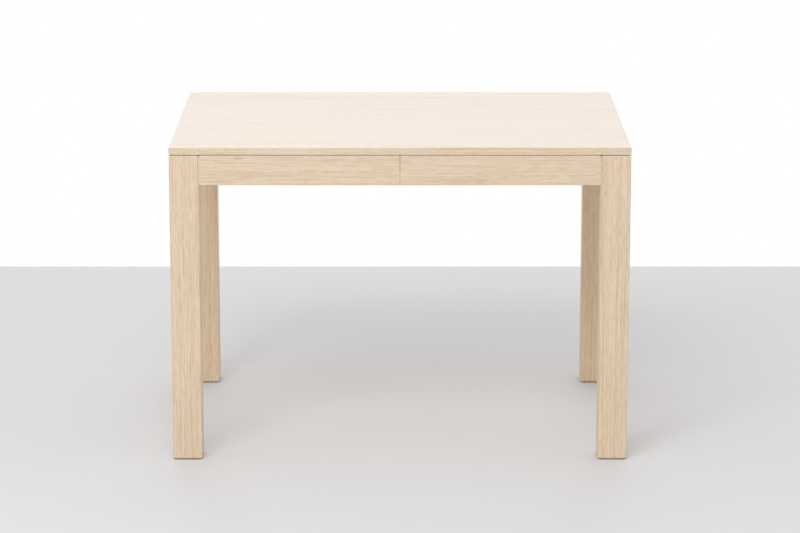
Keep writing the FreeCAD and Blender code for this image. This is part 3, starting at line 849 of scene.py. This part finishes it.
class TABLE_OT_end_aprons(TablePiece, Operator):
    """Makes the two end aprons with a tenon at each end"""
    bl_idname = "table.end_aprons"
    bl_label = "End aprons"

    def make(self, sizes):
        low = Vector((END_LOW.x, LEG_HIGH.y, END_LOW.z))
        high = Vector((END_HIGH.x, -LEG_HIGH.y, END_HIGH.z))
        made = ease(block(low, high), sizes.apron_round, sizes.segments, lambda edge: runs_along(edge, 1))
        size = high - low
        for side in (-1, 1):
            edit(made, "FACE", lambda face: face.normal.y * side > FACING)
            bpy.ops.mesh.extrude_region_move(TRANSFORM_OT_translate={"value": (0, 0, 0)})
            bpy.ops.transform.resize(
                value=(sizes.tenon_thickness / size.x, 1, 1 - 2 * sizes.tenon_shoulder / size.z),
                center_override=end_of(low, high, 1, side))
            bpy.ops.mesh.extrude_region_move(
                TRANSFORM_OT_translate={"value": (0, side * (END_HIGH.y - high.y), 0)})
            done()
        cutters = pilots(sizes, ("left_bearer_screws",), END_LOW, END_HIGH)
        combine(made, cutters + seats_in((low, high))[0])
        dress_pair(made, "left_end_apron", "oak", ("Y", 61), ("Y", 62))


class TABLE_OT_leaves(TablePiece, Operator):
    """Makes the two stored leaves and their dowels"""
    bl_idname = "table.leaves"
    bl_label = "Leaves"

    def make(self, sizes):
        radius = sizes.leaf_dowel_radius
        for seed, node in enumerate(("upper_leaf", "lower_leaf")):
            made = ease(block(*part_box(node)), sizes.top_round, sizes.segments)
            pegs, cutters = [], []
            for low, high in islands(node + "_dowels"):
                place, run = end_of(low, high, 1, 1), high.y - low.y
                pegs.append(dowel(radius, place, (0, -1, 0), run))
                cutters.append(rod(radius, place, (0, -1, 0), run, DOWEL_SIDES))
            combine(made, cutters)
            dress(made, node, "oak", "Y", 71 + seed, 0.9)
            dress(joined(pegs), node + "_dowels", "beech", "Y", 81 + seed)


class TABLE_OT_seam_dowels(TablePiece, Operator):
    """Makes the dowels across the seams of the aprons"""
    bl_idname = "table.seam_dowels"
    bl_label = "Seam dowels"

    def make(self, sizes):
        pegs = [dowel(sizes.seam_dowel_radius, end_of(low, high, 0, -1), (1, 0, 0), high.x - low.x)
                for low, high in islands("left_seam_dowels")]
        dress_pair(joined(pegs), "left_seam_dowels", "beech", ("X", 83), ("X", 84))


class TABLE_OT_centre_bars(TablePiece, Operator):
    """Makes the centre bars of the slides with their dovetail tongues and pinion windows"""
    bl_idname = "table.centre_bars"
    bl_label = "Centre bars"
    neck: length("Neck", "Width of a dovetail where it leaves the bar", 8 * MM)
    tip: length("Tip", "Width of a dovetail at its tip", 12 * MM)
    depth: length("Depth", "How far a dovetail stands out", 6 * MM)
    rise: length("Rise", "Height of a dovetail's middle above the bar's underside", 12 * MM)

    def make(self, sizes):
        low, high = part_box("front_centre_bar")
        inner_low = Vector((low.x, low.y + self.depth, low.z))
        inner_high = Vector((high.x, high.y - self.depth, high.z))
        made = block(inner_low, inner_high)
        ease(made, sizes.beech_round, 2, lambda edge: middle_of(edge).z < low.z + NEAR)
        middle = low.z + self.rise
        tongues = []
        for side in (-1, 1):
            face = inner_high.y if side > 0 else inner_low.y
            near, far = sorted((face - side * PAST, face + side * self.depth))
            neck = self.neck - (self.tip - self.neck) / self.depth * PAST
            tongues.append(wedge((low.x, near, middle - neck / 2), (high.x, far, middle + neck / 2),
                                 1, side, 2, self.tip / neck))
        combine(made, tongues, "UNION")
        pinion_low, pinion_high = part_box("front_pinion")
        room, play = 2 * MM, 0.3 * MM
        window = block((pinion_low.x - room, low.y - room, pinion_low.z),
                       (pinion_high.x + room, high.y + room, pinion_high.z + play))
        pin_low, pin_high = min(islands("pinion_pins"), key=lambda box: box[0].y)
        bore = rod((pin_high.x - pin_low.x) / 2, (0, (low.y + high.y) / 2, pin_low.z), (0, 0, 1),
                   high.z - pin_low.z + PAST, sizes.sides)
        combine(made, [window, bore] + pilots(sizes, ("centre_bar_screws",), low, high))
        dress_pair(made, "front_centre_bar", "beech", ("X", 91), ("X", 92))


class TABLE_OT_slide_bars(TablePiece, Operator):
    """Makes the slide bars with their dovetail grooves and rack seats"""
    bl_idname = "table.slide_bars"
    bl_label = "Slide bars"

    def make(self, sizes):
        front = ease_all(copy_of_node("left_front_slide_bar"), 0.5 * MM, 2)
        front_y, rear_y = (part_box("left_" + side + "_slide_bar")[0].y for side in ("front", "rear"))
        rear = copied(front, Matrix.Translation((0, rear_y - front_y, 0)))
        for seed, (obj, corner) in enumerate(zip((front, rear), CORNERS)):
            dress_pair(obj, corner + "_slide_bar", "beech", ("X", 101 + seed), ("X", 103 + seed))


# Bevel at the ends of pins and pegs
PIN_TIP = 0.5 * MM


class TABLE_OT_gears(TablePiece, Operator):
    """Makes the racks, the pinions and the pins that the pinions turn on"""
    bl_idname = "table.gears"
    bl_label = "Racks and pinions"

    def make(self, sizes):
        edge, recess, hub, depth = 0.2 * MM, 16 * MM, 9 * MM, 2 * MM
        for corner in CORNERS:
            dress_copy(corner + "_rack", edge, 1, "steel")
        for node in ("front_pinion", "rear_pinion"):
            made = ease_all(copy_of_node(node), edge, 1)
            for side in (-1, 1):
                face, way = end_of(*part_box(node), 2, side), Vector((0, 0, side))
                outer, inner = (rod(radius, face - way * deep, way, 2 * deep, RECESS_SIDES)
                                for radius, deep in ((recess, depth), (hub, depth + PAST)))
                combine(made, [combine(outer, [inner])])
            dress(made, node, "steel")
        pins = []
        for low, high in islands("pinion_pins"):
            radius, run = (high.x - low.x) / 2, high.z - low.z
            rings = [(radius - PIN_TIP, 0), (radius, PIN_TIP), (radius, run - PIN_TIP), (radius - PIN_TIP, run)]
            pins.append(put(turned(rings, sizes.sides), end_of(low, high, 2, -1), (0, 0, 1)))
        dress(joined(pins), "pinion_pins", "steel")


class TABLE_OT_runners(TablePiece, Operator):
    """Makes the leaf runners: a wall with a ledge under each leaf"""
    bl_idname = "table.runners"
    bl_label = "Leaf runners"
    ledge: length("Ledge", "How far a ledge stands out under a leaf", 30 * MM)
    play: length("Play", "Room between a leaf and the ledge above it", 3 * MM)

    def make(self, sizes):
        low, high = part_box("front_leaf_runner")
        wall_y = high.y - self.ledge
        made = block(low, (high.x, wall_y, high.z))
        upper, (lower, lower_high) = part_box("upper_leaf")[0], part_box("lower_leaf")
        thick = upper.z - lower_high.z - self.play
        shelves = [block((low.x, wall_y - PAST, level - thick), (high.x, high.y, level))
                   for level in (upper.z, lower.z)]
        combine(made, shelves, "UNION")
        ease(made, 0.8 * MM, 2, lambda edge: runs_along(edge, 0) and is_sharp(edge) and edge.is_convex)
        combine(made, pilots(sizes, ("leaf_runner_screws",), low, high))
        dress_pair(made, "front_leaf_runner", "beech", ("X", 111), ("X", 112))


class TABLE_OT_bearers(TablePiece, Operator):
    """Makes the bearers that carry the slide bars, and the glue blocks behind the legs"""
    bl_idname = "table.bearers"
    bl_label = "Bearers and glue blocks"

    def make(self, sizes):
        low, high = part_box("left_bearer")
        made = ease(block(low, high), sizes.beech_round, 3)
        combine(made, pilots(sizes, ("left_bearer_screws",), low, high))
        dress_pair(made, "left_bearer", "beech", ("Y", 121), ("Y", 122))
        for seed, side in enumerate(("left", "right")):
            dress_copy(side + "_glue_blocks", 0.8 * MM, 3, "beech", "Z", 123 + seed)


class TABLE_OT_screws(TablePiece, Operator):
    """Makes the countersunk screws of the bars, the runners and the bearers"""
    bl_idname = "table.screws"
    bl_label = "Screws"

    def make(self, sizes):
        for kind in ("centre_bar", "leaf_runner", "left_bearer", "right_bearer"):
            rows = [screws(sizes, *row) for row in screw_rows(kind + "_screws")]
            dress(joined(rows), kind + "_screws", "steel")


class TABLE_OT_studs(TablePiece, Operator):
    """Makes the studs and the pegs of the seam hooks"""
    bl_idname = "table.studs"
    bl_label = "Studs and pegs"

    def make(self, sizes):
        for node, way in (("left_hook_stud", 1), ("left_catch_stud", -1)):
            low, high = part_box(node)
            start, end = (low.y, high.y)[::way]
            face = way * APRON_HIGH.y
            made = stud(sizes, abs(end - face) - STUD_RISE, abs(face - start))
            place = (low + high) / 2
            place.y = face
            dress_pair(put(made, place, (0, way, 0)), node, "steel")
        low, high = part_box("left_hook_peg")
        run, radius = high.y - low.y, sizes.peg_radius
        rings = [(radius - PIN_TIP, 0), (radius, PIN_TIP), (radius, run - PIN_TIP),
                 (radius - 0.3 * PIN_TIP, run - 0.3 * PIN_TIP), (radius - PIN_TIP, run)]
        made = put(turned(rings, BORE_SIDES), end_of(low, high, 1, -1), (0, 1, 0))
        dress_pair(made, "left_hook_peg", "steel")


class TABLE_OT_hooks(TablePiece, Operator):
    """Makes the flat hooks that hold the half aprons together"""
    bl_idname = "table.hooks"
    bl_label = "Seam hooks"

    def make(self, sizes):
        least, most = math.radians(34), math.radians(57)    # a corner's sides meet at 45 degrees
        for node in ("front_seam_hook", "rear_seam_hook"):
            made = ease(copy_of_node(node), 1.2 * MM, 4, lambda edge: runs_along(edge, 1)
                        and least < edge.calc_face_angle(0) < most)
            dress(ease_all(made, 0.3 * MM, 2), node, "steel")


class TABLE_OT_pads(TablePiece, Operator):
    """Makes the felt pads under the legs"""
    bl_idname = "table.pads"
    bl_label = "Felt pads"

    def make(self, sizes):
        for corner in CORNERS:
            dress_copy(corner + "_pad", 0.6 * MM, 3, "felt")


class TABLE_OT_strips(TablePiece, Operator):
    """Makes the nylon strips that the top slides on"""
    bl_idname = "table.strips"
    bl_label = "Slide strips"

    def make(self, sizes):
        for side in ("left", "right"):
            dress_copy(side + "_slide_strips", 0.5 * MM, 3, "nylon")


class TABLE_OT_stage(TablePiece, Operator):
    """Sets out the floor, the lamps, the white room and the camera"""
    bl_idname = "table.stage"
    bl_label = "Stage"

    def make(self, sizes):
        look = bpy.context.scene.table_stage
        self.floor(look)
        self.room(look)
        self.lamp("key_lamp", (-0.95, -3.7, 4.0), (0, 0, 0.5), (2.5, 2.0), look.key_power)
        self.lamp("fill_lamp", (-1.2, -5.2, 4.2), (0, 0, 0.5), (5.0, 3.0), look.fill_power)
        self.lamp("back_lamp", (0.0, 4.6, 2.3), (0, 0, 0.7), (5.0, 2.4), look.back_power)
        self.camera(look)
        bpy.context.scene.view_settings.view_transform = "Standard"

    def floor(self, look):
        """A pale floor that ends behind the table."""
        width, depth = 14, 12
        only()
        bpy.ops.mesh.primitive_plane_add(size=1, location=(0, look.floor_back - depth / 2, 0))
        bpy.ops.transform.resize(value=(width, depth, 1))
        made = settled(bpy.context.object)
        made.name = "floor"
        finish = new_finish("pale_floor")
        cloud = finish.noise(finish.place(), 1.5, 1.5, 4.0, 3.0)
        paler = [part * 1.02 for part in look.floor]
        base = finish.mix(cloud, look.floor, paler)
        made.data.materials.append(finish.shade(Base_Color=base, Roughness=0.6 + 0.05 * cloud))

    def room(self, look):
        """White for the camera and in reflections, and an even light on the table."""
        world = bpy.data.worlds.new("white_room")
        bpy.context.scene.world = world
        finish = Finish(world)
        seen = finish.node("ShaderNodeLightPath", output="Is Camera Ray")
        for name in ("Is Glossy Ray", "Is Transmission Ray"):
            seen = finish.math("MAXIMUM", seen, finish.node("ShaderNodeLightPath", output=name))
        lit = finish.node("ShaderNodeBackground", {}, {"Color": (1, 1, 1, 1), "Strength": look.room_light})
        white = finish.node("ShaderNodeBackground", {}, {"Color": (1, 1, 1, 1)})
        both = finish.node("ShaderNodeMixShader", {}, {0: seen, 1: lit, 2: white})
        finish.close("ShaderNodeOutputWorld", both)

    def lamp(self, name, place, target, size, power):
        """A soft rectangular lamp that faces a target."""
        only()
        bpy.ops.object.light_add(type="AREA", location=place)
        made = bpy.context.object
        made.name = name
        made.data.shape = "RECTANGLE"
        made.data.size, made.data.size_y = size
        made.data.energy = power
        made.rotation_euler = (Vector(target) - Vector(place)).to_track_quat("-Z", "Y").to_euler()

    def camera(self, look):
        """The camera at the photograph's viewing angle."""
        only()
        bpy.ops.object.camera_add(location=(0, -look.camera_back, look.camera_rise),
                                  rotation=(math.pi / 2 - look.camera_pitch, 0, 0))
        made = bpy.context.object
        made.name = "camera"
        made.data.lens = look.lens
        made.data.sensor_width = 36
        made.data.clip_end = 100
        bpy.context.scene.camera = made


PROPERTY_GROUPS = {"table_sizes": TableSizes, "table_oak": OakLook, "table_beech": BeechLook,
                   "table_stage": StageLook}
OPERATORS = (TABLE_OT_top, TABLE_OT_legs, TABLE_OT_half_aprons, TABLE_OT_end_aprons, TABLE_OT_leaves,
             TABLE_OT_seam_dowels, TABLE_OT_centre_bars, TABLE_OT_slide_bars, TABLE_OT_gears,
             TABLE_OT_runners, TABLE_OT_bearers, TABLE_OT_screws, TABLE_OT_studs, TABLE_OT_hooks,
             TABLE_OT_pads, TABLE_OT_strips, TABLE_OT_stage)


class TABLE_PT_panel(Panel):
    """Lists the table's pieces and their sizes"""
    bl_idname = "TABLE_PT_panel"
    bl_label = "Extending table"
    bl_space_type = "VIEW_3D"
    bl_region_type = "UI"
    bl_category = "Table"

    def draw(self, context):
        for name in PROPERTY_GROUPS:
            box = self.layout.box()
            group = getattr(context.scene, name)
            for key in group.__annotations__:
                box.prop(group, key)
        for operator in OPERATORS:
            self.layout.operator(operator.bl_idname)


def register():
    """Adds the table's properties, operators and panel."""
    for name, group in PROPERTY_GROUPS.items():
        bpy.utils.register_class(group)
        setattr(bpy.types.Scene, name, PointerProperty(type=group))
    for operator in OPERATORS:
        bpy.utils.register_class(operator)
    bpy.utils.register_class(TABLE_PT_panel)


def unregister():
    """Takes the table's properties, operators and panel away."""
    bpy.utils.unregister_class(TABLE_PT_panel)
    for operator in reversed(OPERATORS):
        bpy.utils.unregister_class(operator)
    for name, group in PROPERTY_GROUPS.items():
        delattr(bpy.types.Scene, name)
        bpy.utils.unregister_class(group)


def main():
    """Makes every piece and the stage."""
    register()
    for operator in OPERATORS:
        group, name = operator.bl_idname.split(".")
        getattr(getattr(bpy.ops, group), name)()


if __name__ == "__main__":
    main()
